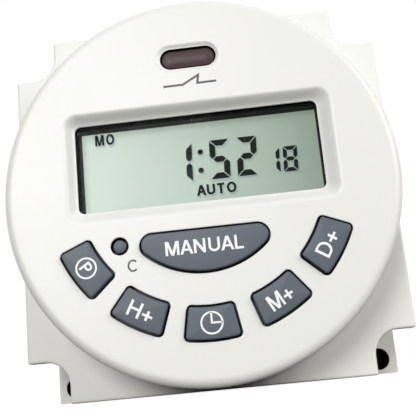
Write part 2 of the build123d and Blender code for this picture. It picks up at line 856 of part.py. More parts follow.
pieces = {
    "front_bezel": front_bezel(),
    "display_window": display_window(),
    "indicator_lens": indicator_lens(),
    "lcd_frame": lcd_frame(),
    "lcd_front_glass": glass(lcd_front, back_of_front_glass, 0.0),
    "lcd_rear_glass": glass(back_of_front_glass, back_of_rear_glass, glass_ledge),
    "lcd_reflector": glass(back_of_rear_glass, back_of_rear_glass + reflector_thick, glass_ledge),
    "zebra_strip": zebra_strip(),
    "key_manual": keycap(manual_outline(), press_spots[5]),
    "key_reset": keycap(Pos(reset_x, reset_z) * Circle(reset_radius), press_spots[6],
                        reset_front, stem=reset_stem_radius),
    "keypad_mat": keypad_mat(),
    "contact_pills": contact_pills(),
    "logic_board": logic_board(),
    "board_screws": board_screws(),
    "indicator_led": indicator_led(),
    "controller_blob": controller_blob(),
    "crystal": crystal(),
    "backup_battery": backup_battery(),
    "surface_chips": surface_chips(),
    "flange_housing": flange_housing(),
    "rear_base": rear_base(),
    "case_screws": case_screws(),
    "terminal_bars": terminal_bars(),
    "terminal_clamps": terminal_clamps(),
    "terminal_screws": terminal_screws(),
    "rail_clip": rail_clip(),
    "clip_spring": clip_spring(),
    "power_board": power_board(),
    "film_capacitor": film_capacitor(),
    "smoothing_capacitor": smoothing_capacitor(),
    "varistor": varistor(),
    "rectifier_diodes": rectifier_diodes(),
    "power_resistors": power_resistors(),
    "link_pins": link_pins(),
    "link_header": link_block(board_back, board_back + header_high),
    "link_socket": link_block(power_front - socket_high, power_front),
    "relay_case": relay_case(),
    "relay_base": relay_base(),
    "relay_bobbin": relay_bobbin(),
    "relay_winding": relay_winding(),
    "relay_yoke": relay_yoke(),
    "relay_armature": relay_armature(),
    "moving_contact": moving_contact(),
    "fixed_contact": fixed_contact(),
}
for name, angle, spot in zip(key_names, key_angles, press_spots):
    pieces[name] = keycap(sector_outline(angle), spot)

os.makedirs("parts", exist_ok=True)
for name, shape in pieces.items():
    export_step(shape, f"parts/{name}.step")
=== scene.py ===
import json
import math
import bmesh
import bpy
import numpy as np
from mathutils import Matrix, Vector, geometry

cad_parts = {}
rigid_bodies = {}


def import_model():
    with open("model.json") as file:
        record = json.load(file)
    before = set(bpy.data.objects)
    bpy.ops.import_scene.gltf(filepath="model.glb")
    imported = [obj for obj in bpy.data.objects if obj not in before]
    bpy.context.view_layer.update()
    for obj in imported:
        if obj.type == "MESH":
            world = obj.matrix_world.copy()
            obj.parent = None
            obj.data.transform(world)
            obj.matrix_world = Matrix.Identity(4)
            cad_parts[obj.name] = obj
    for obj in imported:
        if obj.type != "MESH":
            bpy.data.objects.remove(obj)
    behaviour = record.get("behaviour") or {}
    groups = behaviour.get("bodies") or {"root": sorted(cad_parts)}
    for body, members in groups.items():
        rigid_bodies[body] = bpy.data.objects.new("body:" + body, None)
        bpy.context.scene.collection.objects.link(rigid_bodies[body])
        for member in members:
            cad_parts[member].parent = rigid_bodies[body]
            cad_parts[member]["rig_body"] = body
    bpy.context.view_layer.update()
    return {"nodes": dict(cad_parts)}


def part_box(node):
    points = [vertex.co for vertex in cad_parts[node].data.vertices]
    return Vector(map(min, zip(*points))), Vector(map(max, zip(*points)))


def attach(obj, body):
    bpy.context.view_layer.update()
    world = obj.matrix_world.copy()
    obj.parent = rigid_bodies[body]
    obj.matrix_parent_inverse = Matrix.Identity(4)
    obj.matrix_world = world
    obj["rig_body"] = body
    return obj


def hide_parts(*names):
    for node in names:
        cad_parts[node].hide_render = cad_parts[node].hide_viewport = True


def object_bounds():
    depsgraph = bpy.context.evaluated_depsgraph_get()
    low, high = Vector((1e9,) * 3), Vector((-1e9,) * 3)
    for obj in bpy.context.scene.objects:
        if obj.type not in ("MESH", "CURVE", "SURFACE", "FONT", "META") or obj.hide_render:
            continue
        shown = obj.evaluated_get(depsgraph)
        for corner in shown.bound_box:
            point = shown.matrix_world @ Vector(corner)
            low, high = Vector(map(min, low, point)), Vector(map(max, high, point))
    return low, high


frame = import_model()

# Everything is in metres. The face looks towards -Y, X runs right across it and Z up it.
# Depth is counted from the front face backwards.
scene = bpy.context.scene
bezelLow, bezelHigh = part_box("front_bezel")
flangeLow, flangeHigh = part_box("flange_housing")
glassLow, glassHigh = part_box("lcd_front_glass")
faceY = bezelLow.y
turn = 2 * math.pi
sharpAngle = math.radians(32)            # edges that turn more than this stay crisp


def newObject(name, data):
    created = bpy.data.objects.new(name, data)
    scene.collection.objects.link(created)
    return created


def addPiece(name, shell, material, body, replaced=(), smooth=True):
    mesh = bpy.data.meshes.new(name)
    mesh.from_pydata(np.concatenate(shell.points).tolist(), [], shell.faces)
    mesh.materials.append(material)
    mesh.update()
    tidyMesh(mesh, smooth)
    piece = newObject(name, mesh)
    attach(piece, body)
    if replaced:
        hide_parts(*replaced)
    return piece


def tidyMesh(mesh, smooth):
    # merges seams, turns the faces outwards and marks the edges that stay crisp
    work = bmesh.new()
    work.from_mesh(mesh)
    bmesh.ops.remove_doubles(work, verts=work.verts, dist=2e-7)
    bmesh.ops.dissolve_degenerate(work, dist=1e-8, edges=work.edges)
    bmesh.ops.recalc_face_normals(work, faces=work.faces)
    for face in work.faces:
        face.smooth = smooth
    for edge in work.edges:
        edge.smooth = edge.calc_face_angle(0.0) < sharpAngle
    work.to_mesh(mesh)
    work.free()


def gridFaces(rows, columns, closed=True):
    # quads between each row of points and the next; a closed row joins its last point to its first
    across = columns if closed else columns - 1
    row, column = np.meshgrid(np.arange(rows - 1), np.arange(across), indexing="ij")
    beside = (column + 1) % columns
    corners = [row * columns + column, row * columns + beside,
               (row + 1) * columns + beside, (row + 1) * columns + column]
    return np.stack(corners, -1).reshape(-1, 4).tolist()


class Builder:
    # collects sheets of points and the faces between them, for one piece
    def __init__(self):
        self.points = []
        self.faces = []
        self.count = 0

    def add(self, points, faces):
        self.points.append(np.asarray(points, float))
        self.faces += [[index + self.count for index in face] for face in faces]
        self.count += len(points)

    def wall(self, loops, closed=True):
        # a skin through closed loops of equally many points, one after the other
        stack = np.stack(loops)
        self.add(stack.reshape(-1, 3), gridFaces(stack.shape[0], stack.shape[1], closed=closed))

    def lid(self, outer, holes, depth):
        # the flat region inside one loop and outside the others, at one depth
        loops = [outer] + list(holes)
        flat = np.concatenate(loops)
        edges = []
        start = 0
        for loop in loops:
            index = np.arange(len(loop)) + start
            edges += np.stack([index, np.roll(index, -1)], -1).tolist()
            start += len(loop)
        found = geometry.delaunay_2d_cdt([Vector(p) for p in flat.tolist()], edges, [], 1, 1e-9)
        points = np.array([tuple(p) for p in found[0]])
        faces = np.array(found[2])
        middle = points[faces].mean(1)
        keep = inside(outer, middle)
        for hole in holes:
            keep &= ~inside(hole, middle)
        self.add(atDepth(points, depth), faces[keep].tolist())


def inside(loop, points):
    # even-odd rule: counts the loop's edges that cross a line running right from each point
    start, end = loop, np.roll(loop, -1, axis=0)
    x, z = points[:, :1], points[:, 1:]
    spans = (start[:, 1] > z) != (end[:, 1] > z)
    rise = np.where(np.abs(end[:, 1] - start[:, 1]) < 1e-15, 1e-15, end[:, 1] - start[:, 1])
    crossing = start[:, 0] + (z - start[:, 1]) * (end[:, 0] - start[:, 0]) / rise
    return (spans & (x < crossing)).sum(1) % 2 == 1


def atDepth(flat, depth):
    # points of the face plane, placed at a depth behind the front face
    flat = np.asarray(flat, float)
    deep = np.broadcast_to(np.asarray(depth, float), (len(flat),))
    return np.stack([flat[:, 0], faceY + deep, flat[:, 1]], -1)


def arc(centre, radius, start, end, steps):
    # points at even angles round a centre, the angle counted from the right
    angle = np.linspace(start, end, steps)
    return np.stack([centre[0] + radius * np.cos(angle), centre[1] + radius * np.sin(angle)], -1)


def circleLoop(radius, steps=160, centre=(0.0, 0.0)):
    return arc(centre, radius, 0, turn, steps + 1)[:-1]


def evenly(loop, longest):
    # adds points along the straight stretches, so that no step is longer than the given length
    following = np.roll(loop, -1, axis=0)
    parts = np.maximum(1, np.ceil(np.linalg.norm(following - loop, axis=1) / longest)).astype(int)
    owner = np.repeat(np.arange(len(loop)), parts)
    step = np.concatenate([np.arange(n) / n for n in parts])
    return loop[owner] + (following[owner] - loop[owner]) * step[:, None]


def rectLoop(centre, wide, high, corner, steps=10, longest=None):
    # four quarter arcs, counterclockwise, starting at the right edge's lower end
    across, up = wide / 2 - corner, high / 2 - corner
    quarters = []
    for place, (sideways, level) in enumerate(((1, -1), (1, 1), (-1, 1), (-1, -1))):
        start = (place - 1) * turn / 4
        spot = (centre[0] + sideways * across, centre[1] + level * up)
        quarters.append(arc(spot, corner, start, start + turn / 4, steps))
    loop = np.concatenate(quarters)
    return evenly(loop, longest) if longest else loop


def turned(loop, angle):
    # counterclockwise about the middle of the face
    cos, sin = math.cos(angle), math.sin(angle)
    return loop @ np.array([[cos, sin], [-sin, cos]])


def bent(loop, middleRadius, angle):
    # wraps a flat outline round the middle of the face: across becomes an angle, up becomes a radius
    # counted inwards, and the given angle is counted from straight down towards the right
    around = loop[:, 0] / middleRadius + angle
    radius = middleRadius - loop[:, 1]
    return np.stack([radius * np.sin(around), -radius * np.cos(around)], -1)


def outward(loop):
    # unit normals of a counterclockwise loop, from the chord between each point's neighbours
    chord = np.roll(loop, -1, axis=0) - np.roll(loop, 1, axis=0)
    normal = np.stack([chord[:, 1], -chord[:, 0]], -1)
    return normal / np.linalg.norm(normal, axis=1, keepdims=True)


def grown(loop, amount):
    # each point moves along its outward normal
    return loop + outward(loop) * amount


def roundOver(radius, steps=5):
    # (inset, depth) pairs of a quarter round from a flat face into a wall
    angle = np.linspace(0, turn / 4, steps)
    return [(radius * (1 - math.sin(a)), radius * (1 - math.cos(a))) for a in angle]


def feed(tree, node, inputs):
    # links or sets each input; an underscore stands for a space in a socket's name
    for key, value in inputs.items():
        socket = node.inputs[key.replace("_", " ") if isinstance(key, str) else key]
        if isinstance(value, bpy.types.NodeSocket):
            tree.links.new(value, socket)
        else:
            socket.default_value = value


def addNode(tree, kind, settings=None, **inputs):
    node = tree.nodes.new(kind)
    for key, value in (settings or {}).items():
        setattr(node, key, value)
    feed(tree, node, inputs)
    return node


def mathNode(tree, operation, *values, clamp=False):
    node = addNode(tree, "ShaderNodeMath", {"operation": operation, "use_clamp": clamp})
    feed(tree, node, dict(enumerate(values)))
    return node.outputs[0]


def mixColor(tree, factor, first, second, blend="MIX"):
    node = addNode(tree, "ShaderNodeMix", {"data_type": "RGBA", "blend_type": blend})
    first, second = [(*color, 1.0) if isinstance(color, tuple) else color for color in (first, second)]
    feed(tree, node, {0: factor, 6: first, 7: second})
    return node.outputs[2]


def rangeNode(tree, value, start, end, low=0.0, high=1.0):
    # low at the start, high at the end, straight between them and level outside them
    return addNode(tree, "ShaderNodeMapRange", Value=value, From_Min=start, From_Max=end, To_Min=low,
                   To_Max=high).outputs[0]


def noiseNode(tree, place, scale, detail, roughness=0.5):
    return addNode(tree, "ShaderNodeTexNoise", Vector=place, Scale=scale, Detail=detail,
                   Roughness=roughness).outputs["Fac"]


def objectPlace(tree):
    return tree.nodes.new("ShaderNodeTexCoord").outputs["Object"]


def objectAxes(tree):
    return addNode(tree, "ShaderNodeSeparateXYZ", Vector=objectPlace(tree)).outputs


def newGroup(name, inputs, outputs):
    # a node group of values, with its nodes for what goes in and what comes out
    group = bpy.data.node_groups.new(name, "ShaderNodeTree")
    for label, value in inputs.items():
        socket = group.interface.new_socket(name=label, in_out="INPUT", socket_type="NodeSocketFloat")
        socket.default_value = value
    for label in outputs:
        group.interface.new_socket(name=label, in_out="OUTPUT", socket_type="NodeSocketFloat")
    return group, group.nodes.new("NodeGroupInput").outputs, group.nodes.new("NodeGroupOutput")


def makeSkinGroup():
    # moulded skin: fine spark-eroded grain, soft clouding, faint rubbed marks, and dust on upper sides
    group, given, result = newGroup("mouldedSkin", {"Grain Scale": 9000.0, "Cloud Scale": 60.0, "Dust": 0.3},
                                    ["Grain", "Cloud", "Rubbed", "Dust"])
    place = objectPlace(group)
    grain = noiseNode(group, place, given["Grain Scale"], 3.0, 0.6)
    cloud = noiseNode(group, place, given["Cloud Scale"], 4.0, 0.55)
    stretch = addNode(group, "ShaderNodeMapping", Vector=place, Scale=(1.0, 1.0, 7.0),
                      Rotation=(0.0, 0.6, 0.0))
    rubbed = rangeNode(group, noiseNode(group, stretch.outputs[0], 420.0, 5.0, 0.7), 0.60, 0.78)
    normal = group.nodes.new("ShaderNodeNewGeometry").outputs["Normal"]
    upwards = addNode(group, "ShaderNodeSeparateXYZ", Vector=normal).outputs["Z"]
    facingUp = rangeNode(group, upwards, 0.35, 0.95)
    dust = mathNode(group, "MULTIPLY", mathNode(group, "MULTIPLY", facingUp, cloud), given["Dust"])
    feed(group, result, {"Grain": grain, "Cloud": cloud, "Rubbed": rubbed, "Dust": dust})
    return group


def makeMetalGroup():
    # machined or plated metal: fine directional lines and blotches
    group, given, result = newGroup("platedMetal", {"Line Scale": 2500.0, "Blotch Scale": 500.0},
                                    ["Lines", "Blotch"])
    place = objectPlace(group)
    stretch = addNode(group, "ShaderNodeMapping", Vector=place, Scale=(0.15, 1.0, 1.0))
    lines = noiseNode(group, stretch.outputs[0], given["Line Scale"], 3.0)
    blotch = noiseNode(group, place, given["Blotch Scale"], 4.0, 0.65)
    feed(group, result, {"Lines": lines, "Blotch": blotch})
    return group


skinGroup = makeSkinGroup()
metalGroup = makeMetalGroup()


def newMaterial(name):
    material = bpy.data.materials.new(name)
    material.use_nodes = True
    tree = material.node_tree
    tree.nodes.clear()
    shader = tree.nodes.new("ShaderNodeBsdfPrincipled")
    addNode(tree, "ShaderNodeOutputMaterial", Surface=shader.outputs[0])
    return material, tree, shader


def placeGroup(tree, group, **inputs):
    return addNode(tree, "ShaderNodeGroup", {"node_tree": group}, **inputs).outputs


def addBump(tree, shader, height, strength, distance=0.00001):
    bump = addNode(tree, "ShaderNodeBump", Strength=strength, Distance=distance, Height=height)
    feed(tree, shader, {"Normal": bump.outputs[0]})


def plastic(name, color, roughness=0.45, grainHeight=0.25, cloud=0.05, dust=0.25, rubbed=0.10,
            specular=0.5, dustColor=(0.62, 0.60, 0.55), paintedShade=None):
    material, tree, shader = newMaterial(name)
    skin = placeGroup(tree, skinGroup, Cloud_Scale=70.0, Dust=dust)
    darker = tuple(c * (1 - cloud) for c in color)
    lighter = tuple(min(1.0, c * (1 + cloud)) for c in color)
    tone = mixColor(tree, skin["Cloud"], darker, lighter)
    tone = mixColor(tree, skin["Dust"], tone, dustColor)
    # painted shade: where the mask is one, the colour turns to the dark of a shaded hole
    if paintedShade:
        tone = mixColor(tree, paintedShade(tree), tone, paintedHoleShade["color"])
    rough = mathNode(tree, "MULTIPLY_ADD", skin["Cloud"], 0.12, roughness - 0.06)
    rough = mathNode(tree, "MULTIPLY_ADD", skin["Rubbed"], rubbed, rough)
    feed(tree, shader, {"Base Color": tone, "Roughness": rough, "Specular IOR Level": specular})
    addBump(tree, shader, skin["Grain"], grainHeight, 0.00002)
    return material


def metal(name, color, roughness=0.3, lineScale=2500.0):
    material, tree, shader = newMaterial(name)
    skin = placeGroup(tree, metalGroup, Line_Scale=lineScale)
    tone = mixColor(tree, skin["Blotch"], tuple(c * 0.75 for c in color), color)
    rough = mathNode(tree, "MULTIPLY_ADD", skin["Blotch"], 0.25, roughness - 0.10)
    feed(tree, shader, {"Base Color": tone, "Roughness": rough, "Metallic": 1.0})
    addBump(tree, shader, skin["Lines"], 0.2)
    return material


# painted shade: the key holes' walls, the lens slot and the ear holes are painted dark where shade falls
paintedHoleShade = {
    "color": (0.03, 0.03, 0.03),
    "keysBelow": -0.0050,        # the key holes lie below this height and inside this radius
    "keysWithin": 0.0245,
    "keysBehind": 0.00010,       # their walls are painted with shade from this depth on
    "blend": 0.0002,
    "lensAbove": 0.0165,
    "lensBehind": 0.00036,
    "earAcross": 0.0254,         # the ear holes' middles, either side of a level
    "earUp": 0.0268,
    "earLevel": -0.0008,
    "earRadius": 0.0018,
    "earDepth": 0.0268,          # middle of the dark stretch, and half its length
    "earHalf": 0.0045,
}


def withinRadius(tree, across, up, radius):
    # one where the squares of two offsets add up to less than the radius squared
    squares = [mathNode(tree, "POWER", offset, 2.0) for offset in (across, up)]
    return mathNode(tree, "LESS_THAN", mathNode(tree, "ADD", *squares), radius ** 2)


def faceHolePaintedShade(tree):
    # painted shade on the walls of the key holes, and round the indicator lens behind the bottom of its dish
    shade = paintedHoleShade
    axes = objectAxes(tree)
    start = faceY + shade["keysBehind"]
    deep = rangeNode(tree, axes["Y"], start, start + shade["blend"])
    low = rangeNode(tree, axes["Z"], shade["keysBelow"], shade["keysBelow"] - shade["blend"])
    keys = mathNode(tree, "MULTIPLY", deep, low)
    behind = mathNode(tree, "GREATER_THAN", axes["Y"], faceY + shade["lensBehind"])
    slot = mathNode(tree, "MULTIPLY", behind, mathNode(tree, "GREATER_THAN", axes["Z"], shade["lensAbove"]))
    within = withinRadius(tree, axes["X"], axes["Z"], shade["keysWithin"])
    return mathNode(tree, "MULTIPLY", mathNode(tree, "MAXIMUM", keys, slot), within)


def earHolePaintedShade(tree):
    # painted shade inside the four ear holes: near their axes and behind the ears' front faces
    shade = paintedHoleShade
    axes = objectAxes(tree)
    across = mathNode(tree, "SUBTRACT", mathNode(tree, "ABSOLUTE", axes["X"]), shade["earAcross"])
    level = mathNode(tree, "ABSOLUTE", mathNode(tree, "SUBTRACT", axes["Z"], shade["earLevel"]))
    level = mathNode(tree, "SUBTRACT", level, shade["earUp"])
    near = withinRadius(tree, across, level, shade["earRadius"])
    deep = mathNode(tree, "COMPARE", axes["Y"], faceY + shade["earDepth"], shade["earHalf"])
    return mathNode(tree, "MULTIPLY", near, deep)


faceWhite = plastic("faceWhite", (0.80, 0.80, 0.765), roughness=0.38, grainHeight=0.10, cloud=0.015,
                    dust=0.10, rubbed=0.08, paintedShade=faceHolePaintedShade)
housingWhite = plastic("housingWhite", (0.80, 0.80, 0.765), roughness=0.48, grainHeight=0.30, cloud=0.02,
                       dust=0.15)
baseWhite = plastic("baseWhite", (0.81, 0.81, 0.775), roughness=0.48, grainHeight=0.30, cloud=0.02,
                    dust=0.15, paintedShade=earHolePaintedShade)
keySlate = plastic("keySlate", (0.076, 0.095, 0.118), roughness=0.48, grainHeight=0.35, cloud=0.16,
                   dust=0.10, dustColor=(0.25, 0.26, 0.27))
frameBlack = plastic("frameBlack", (0.006, 0.006, 0.006), roughness=0.6, cloud=0.2, dust=0.0,
                     specular=0.12)
clipBlack = plastic("clipBlack", (0.035, 0.036, 0.04), roughness=0.5, grainHeight=0.4, cloud=0.2, dust=0.2)
partBlack = plastic("partBlack", (0.02, 0.02, 0.022), roughness=0.45, cloud=0.2)
inkWhite = plastic("inkWhite", (0.90, 0.91, 0.92), roughness=0.5, cloud=0.03, dust=0.0)
inkGrey = plastic("inkGrey", (0.10, 0.10, 0.10), roughness=0.55, cloud=0.05, dust=0.0)
zincSteel = metal("zincSteel", (0.60, 0.60, 0.58), roughness=0.32)
canSteel = metal("canSteel", (0.62, 0.62, 0.62), roughness=0.25)
springSteel = metal("springSteel", (0.45, 0.45, 0.46), roughness=0.25)
brassBright = metal("brassBright", (0.74, 0.54, 0.24), roughness=0.28)
copperWire = metal("copperWire", (0.66, 0.28, 0.12), roughness=0.3, lineScale=5000.0)
print("materials ready")


# front bezel
bezelShape = {
    "edgeRound": 0.0014,         # radius of the rounding round the face
    "footRound": 0.0002,
    "wall": 0.0015,              # skirt wall
    "faceWall": 0.0018,          # thickness of the face
    "rimRound": 0.00010,         # rounding at the edge of each key hole
    "keyGap": 0.00030,
    "band": 0.00012,             # flat strip kept round each key hole, the bevel, the dish and the face
    "bevelBand": 0.00025,
    "dishBand": 0.0002,
    "faceBand": 0.0003,
    "windowCentre": (0.00003, 0.0043),
    "windowSize": (0.03715, 0.0138),
    "windowCorner": 0.0010,
    "windowDepth": 0.0015,
    "bevelStraight": 0.38,       # share of the bevel's depth that is a straight slope
    "bevelCentre": (0.00043, 0.00415),
    "bevelSize": (0.04054, 0.0171),
    "bevelCorner": 0.0020,
    "lensCentre": (0.0, 0.01995),
    "lensSize": (0.00845, 0.00315),
    "lensGap": 0.0001,
    "dishCentre": (-0.0001, 0.0200),
    "dishSize": (0.0098, 0.0046),
    "dishDepth": 0.00032,
}

keyShape = {
    "inner": 0.0183,             # the curved keys lie between these two radii
    "outer": 0.02295,
    "halfAngle": math.radians(9.95),
    "pitch": math.radians(28.7),
    "step": 0.00035,             # longest step between points along a curved key's sides
    "corner": 0.0005,
    "proud": 0.0006,
    "shy": 0.00006,              # each cap is this much smaller all round than its outline
    "edgeRound": 0.00018,
    "crown": 0.00010,
    "skirt": 0.0005,             # the rim behind the face that keeps each key in
    "skirtFront": 0.0020,
    "skirtBack": 0.0028,
    "manualRadius": 0.0132,
    "manualTop": -0.0071,
    "manualCorner": 0.0016,
    "manualStep": 0.0005,
    "resetCentre": (-0.01245, -0.00831),
    "resetRadius": 0.00103,
    "resetDepth": 0.0002,
}
keyNames = ["key_program", "key_hour", "key_clock", "key_minute", "key_day"]


def keyLoop(angle):
    # a rounded rectangle as wide as the key's arc at its middle radius, bent round the face
    middle = (keyShape["inner"] + keyShape["outer"]) / 2
    flat = rectLoop((0, 0), 2 * middle * keyShape["halfAngle"], keyShape["outer"] - keyShape["inner"],
                    keyShape["corner"], steps=8, longest=keyShape["step"])
    return bent(flat, middle, angle)


def manualLoop():
    # an arc below, a straight edge above, and a small arc that meets both tangentially at each end
    radius, top, corner = keyShape["manualRadius"], -keyShape["manualTop"], keyShape["manualCorner"]
    across = math.sqrt((radius - corner) ** 2 - (top + corner) ** 2)
    lean = math.atan2(-(top + corner), across)
    below = arc((0, 0), radius, -turn / 2 - lean, lean, 60)
    right = arc((across, -top - corner), corner, lean, turn / 4, 14)
    left = arc((-across, -top - corner), corner, turn / 4, turn / 2 - lean, 14)
    return evenly(np.concatenate([below[1:-1], right, left]), keyShape["manualStep"])


keyLoops = {name: keyLoop((place - 2) * keyShape["pitch"]) for place, name in enumerate(keyNames)}
keyLoops["key_manual"] = manualLoop()
keyLoops["key_reset"] = circleLoop(keyShape["resetRadius"], 40, keyShape["resetCentre"])


def ease(share):
    # a smooth step: flat at both ends
    return share * share * (3 - 2 * share)


def makeBezel():
    # closed shell: flat face with holes, rounded edge, skirt down to the flange and back up inside
    shape = bezelShape
    radius = (bezelHigh.x - bezelLow.x) / 2
    deep = bezelHigh.y - faceY
    edge = shape["edgeRound"]
    shell = Builder()
    flatRadius = radius - edge - shape["faceBand"]
    profile = [(flatRadius, 0.0)]
    profile += [(radius - inset, depth) for inset, depth in roundOver(edge, 12)]
    profile += [(radius, deep - shape["footRound"]), (radius - shape["footRound"], deep)]
    profile += [(radius - shape["wall"], deep), (radius - shape["wall"], shape["faceWall"])]
    shell.wall([atDepth(circleLoop(r, 224), depth) for r, depth in profile])
    rim = shape["rimRound"]
    fronts, backs = [], []
    for loop in keyLoops.values():
        hole = grown(loop, shape["keyGap"])
        front = grown(hole, rim + shape["band"])
        rings = [atDepth(front, 0.0)]
        rings += [atDepth(grown(hole, inset), depth) for inset, depth in roundOver(rim, 5)]
        rings.append(atDepth(hole, shape["faceWall"]))
        shell.wall(rings)
        fronts.append(front)
        backs.append(hole)
    for front, back in (addWindow(shell), addDish(shell)):
        fronts.append(front)
        backs.append(back)
    shell.lid(circleLoop(flatRadius, 224), fronts, 0.0)
    shell.lid(circleLoop(radius - shape["wall"], 224), backs, shape["faceWall"])
    addPiece("bezelShell", shell, faceWhite, "case", ["front_bezel"])


def addFunnel(shell, outer, inner, band, share, depth, *deeper):
    # a flat band round the outer outline, then the given shares of the way to the inner one, each at its
    # depth, and straight on through the face
    front = grown(outer, band)
    rings = [atDepth(front, 0.0)]
    rings += [atDepth(outer + (inner - outer) * s, d) for s, d in zip(share, depth)]
    rings += [atDepth(inner, d) for d in (*deeper, bezelShape["faceWall"])]
    shell.wall(rings)
    return front, inner


def addWindow(shell):
    # the sloped surround: partly a smooth step and partly straight, so that its shoulder is soft
    shape = bezelShape
    outer = rectLoop(shape["bevelCentre"], *shape["bevelSize"], shape["bevelCorner"], 14)
    inner = rectLoop(shape["windowCentre"], *shape["windowSize"], shape["windowCorner"], 14)
    share = np.linspace(0, 1, 11)
    straight = shape["bevelStraight"]
    depth = shape["windowDepth"] * ((1 - straight) * ease(share) + straight * share)
    return addFunnel(shell, outer, inner, shape["bevelBand"], share, depth, shape["windowDepth"] + 0.00005)


def pillLoop(centre, wide, high):
    # straight sides between two ends that are all but half circles
    return rectLoop(centre, wide, high, high / 2 - 0.00001, 20)


def addDish(shell):
    # a smooth step down from an oval outline to the edge of the indicator lens
    shape = bezelShape
    wide, high = shape["lensSize"]
    inner = pillLoop(shape["lensCentre"], wide + 2 * shape["lensGap"], high + 2 * shape["lensGap"])
    outer = pillLoop(shape["dishCentre"], *shape["dishSize"])
    share = np.linspace(0, 1, 9)
    return addFunnel(shell, outer, inner, shape["dishBand"], share, shape["dishDepth"] * ease(share))


makeBezel()
print("bezel ready")


def domedTop(loop, edge, front, height, target, shares, steps=7):
    # a quarter round in from the side, then rings that close in on the target by the given shares while
    # the surface rises along a parabola
    rings = [atDepth(grown(loop, -inset), front + depth) for inset, depth in roundOver(edge, steps)[::-1]]
    top = grown(loop, -edge)
    return rings + [atDepth(top + (target - top) * s, front - height * (1 - (1 - s) ** 2)) for s in shares]


def makeKey(name, loop, front):
    # a cap whose side is straight, whose edge is rounded and whose top swells slightly to its middle
    shape = keyShape
    loop = grown(loop, -shape["shy"])
    skirt = grown(loop, shape["skirt"])
    rings = [atDepth(skirt, shape["skirtBack"]), atDepth(skirt, shape["skirtFront"]),
             atDepth(loop, shape["skirtFront"])]
    rings += domedTop(loop, shape["edgeRound"], front, shape["crown"], loop.mean(0), np.linspace(0.08, 1, 9))
    cap = Builder()
    cap.wall(rings)
    cap.lid(skirt, [], shape["skirtBack"])
    addPiece(name.replace("key_", "cap_"), cap, keySlate, name, [name])


for keyName, loop in keyLoops.items():
    makeKey(keyName, loop, keyShape["resetDepth"] if keyName == "key_reset" else -keyShape["proud"])
print("keys ready")


# square housing with notched corners
flangeShape = {
    "notch": 0.00653,
    "notchRound": 0.0038,
    "cornerRound": 0.0003,
    "edgeRound": 0.00035,
    "backRound": 0.0002,
    "band": 0.0003,              # flat strip kept inside the edge of the front
    "thick": 0.0025,             # the flange itself; the walls behind it stand in by the next two values
    "bodyInset": 0.0015,
    "bodyNotchInset": 0.0008,
    "spigotRadius": 0.02797,
    "spigotWall": 0.0015,
    "spigotDepth": 0.0092,
    "frontDepth": 0.0103,
    "frontWall": 0.0020,
    "sideWall": 0.0018,
}


def notchedLoop(inset=0.0, sides=0.0, notches=0.0):
    # a quarter of the outline by arcs, turned four times: convex corner, hollow corner, convex corner;
    # an inset keeps the arcs' middles and takes itself off the convex radii and on to the hollow one;
    # sides and notches move those edges inwards before that
    shape = flangeShape
    whole = (flangeHigh.x - flangeLow.x) / 2
    half = whole - sides - inset
    edge = whole - shape["notch"] - notches - inset
    small = max(shape["cornerRound"] - inset, 0.00002)
    hollow = shape["notchRound"] + inset
    quarter = np.concatenate([
        arc((half - small, edge - small), small, 0, turn / 4, 6),
        arc((edge + hollow, edge + hollow), hollow, turn * 3 / 4, turn / 2, 20),
        arc((edge - small, half - small), small, 0, turn / 4, 6)])
    return np.concatenate([turned(quarter, place * turn / 4) for place in range(4)])


def bodyLoop(inset=0.0):
    return notchedLoop(inset, flangeShape["bodyInset"], flangeShape["bodyNotchInset"])


def makeHousing():
    # rounded flange, then the narrower walls behind it and back up inside, and a round spigot in front
    shape = flangeShape
    deep = flangeHigh.y - faceY
    edge = shape["edgeRound"]
    shell = Builder()
    flat = notchedLoop(edge + shape["band"])
    front = shape["frontDepth"]
    rings = [atDepth(flat, front)]
    rings += [atDepth(notchedLoop(inset), front + depth) for inset, depth in roundOver(edge, 6)]
    lip = front + shape["thick"]
    hollow = bodyLoop(shape["sideWall"])
    floor = front + shape["frontWall"]
    rings += [atDepth(notchedLoop(), lip - shape["backRound"]),
              atDepth(notchedLoop(shape["backRound"]), lip), atDepth(bodyLoop(), lip),
              atDepth(bodyLoop(), deep), atDepth(hollow, deep), atDepth(hollow, floor)]
    shell.wall(rings)
    outer, inner = shape["spigotRadius"], shape["spigotRadius"] - shape["spigotWall"]
    rounds = [(outer, front), (outer, shape["spigotDepth"]), (inner, shape["spigotDepth"]), (inner, floor)]
    shell.wall([atDepth(circleLoop(r, 160), depth) for r, depth in rounds])
    shell.lid(flat, [circleLoop(outer, 160)], front)
    shell.lid(hollow, [circleLoop(inner, 160)], floor)
    addPiece("housingShell", shell, housingWhite, "case", ["flange_housing"])


makeHousing()
print("housing ready")


# indicator lens
lensShape = {
    "front": 0.0006,             # depth of its rim behind the face
    "back": 0.0024,
    "rimRound": 0.0003,
    "dome": 0.00022,
    "spineHalf": 0.0026,         # half length of the line along which the top is highest
}


def makeLens():
    # a pill with a rounded rim and a top that swells towards a line along its middle
    shape = lensShape
    centre = bezelShape["lensCentre"]
    edge = shape["rimRound"]
    loop = grown(pillLoop(centre, *bezelShape["lensSize"]), -bezelShape["lensGap"])
    across = grown(loop, -edge)[:, 0]
    spine = np.clip(across, centre[0] - shape["spineHalf"], centre[0] + shape["spineHalf"])
    target = np.stack([spine, np.full_like(spine, centre[1])], -1)
    rings = [atDepth(loop, shape["back"])]
    rings += domedTop(loop, edge, shape["front"], shape["dome"], target, np.linspace(0.15, 1, 7), 6)
    lens = Builder()
    lens.wall(rings)
    lens.lid(loop, [], shape["back"])
    material, tree, shader = newMaterial("lensSmoke")
    skin = placeGroup(tree, skinGroup, Cloud_Scale=300.0, Dust=0.2)
    tone = mixColor(tree, skin["Cloud"], (0.044, 0.024, 0.023), (0.080, 0.048, 0.046))
    feed(tree, shader, {"Base Color": tone, "Roughness": 0.42, "Specular IOR Level": 0.3})
    addPiece("lensCap", lens, material, "case", ["indicator_lens"])


makeLens()


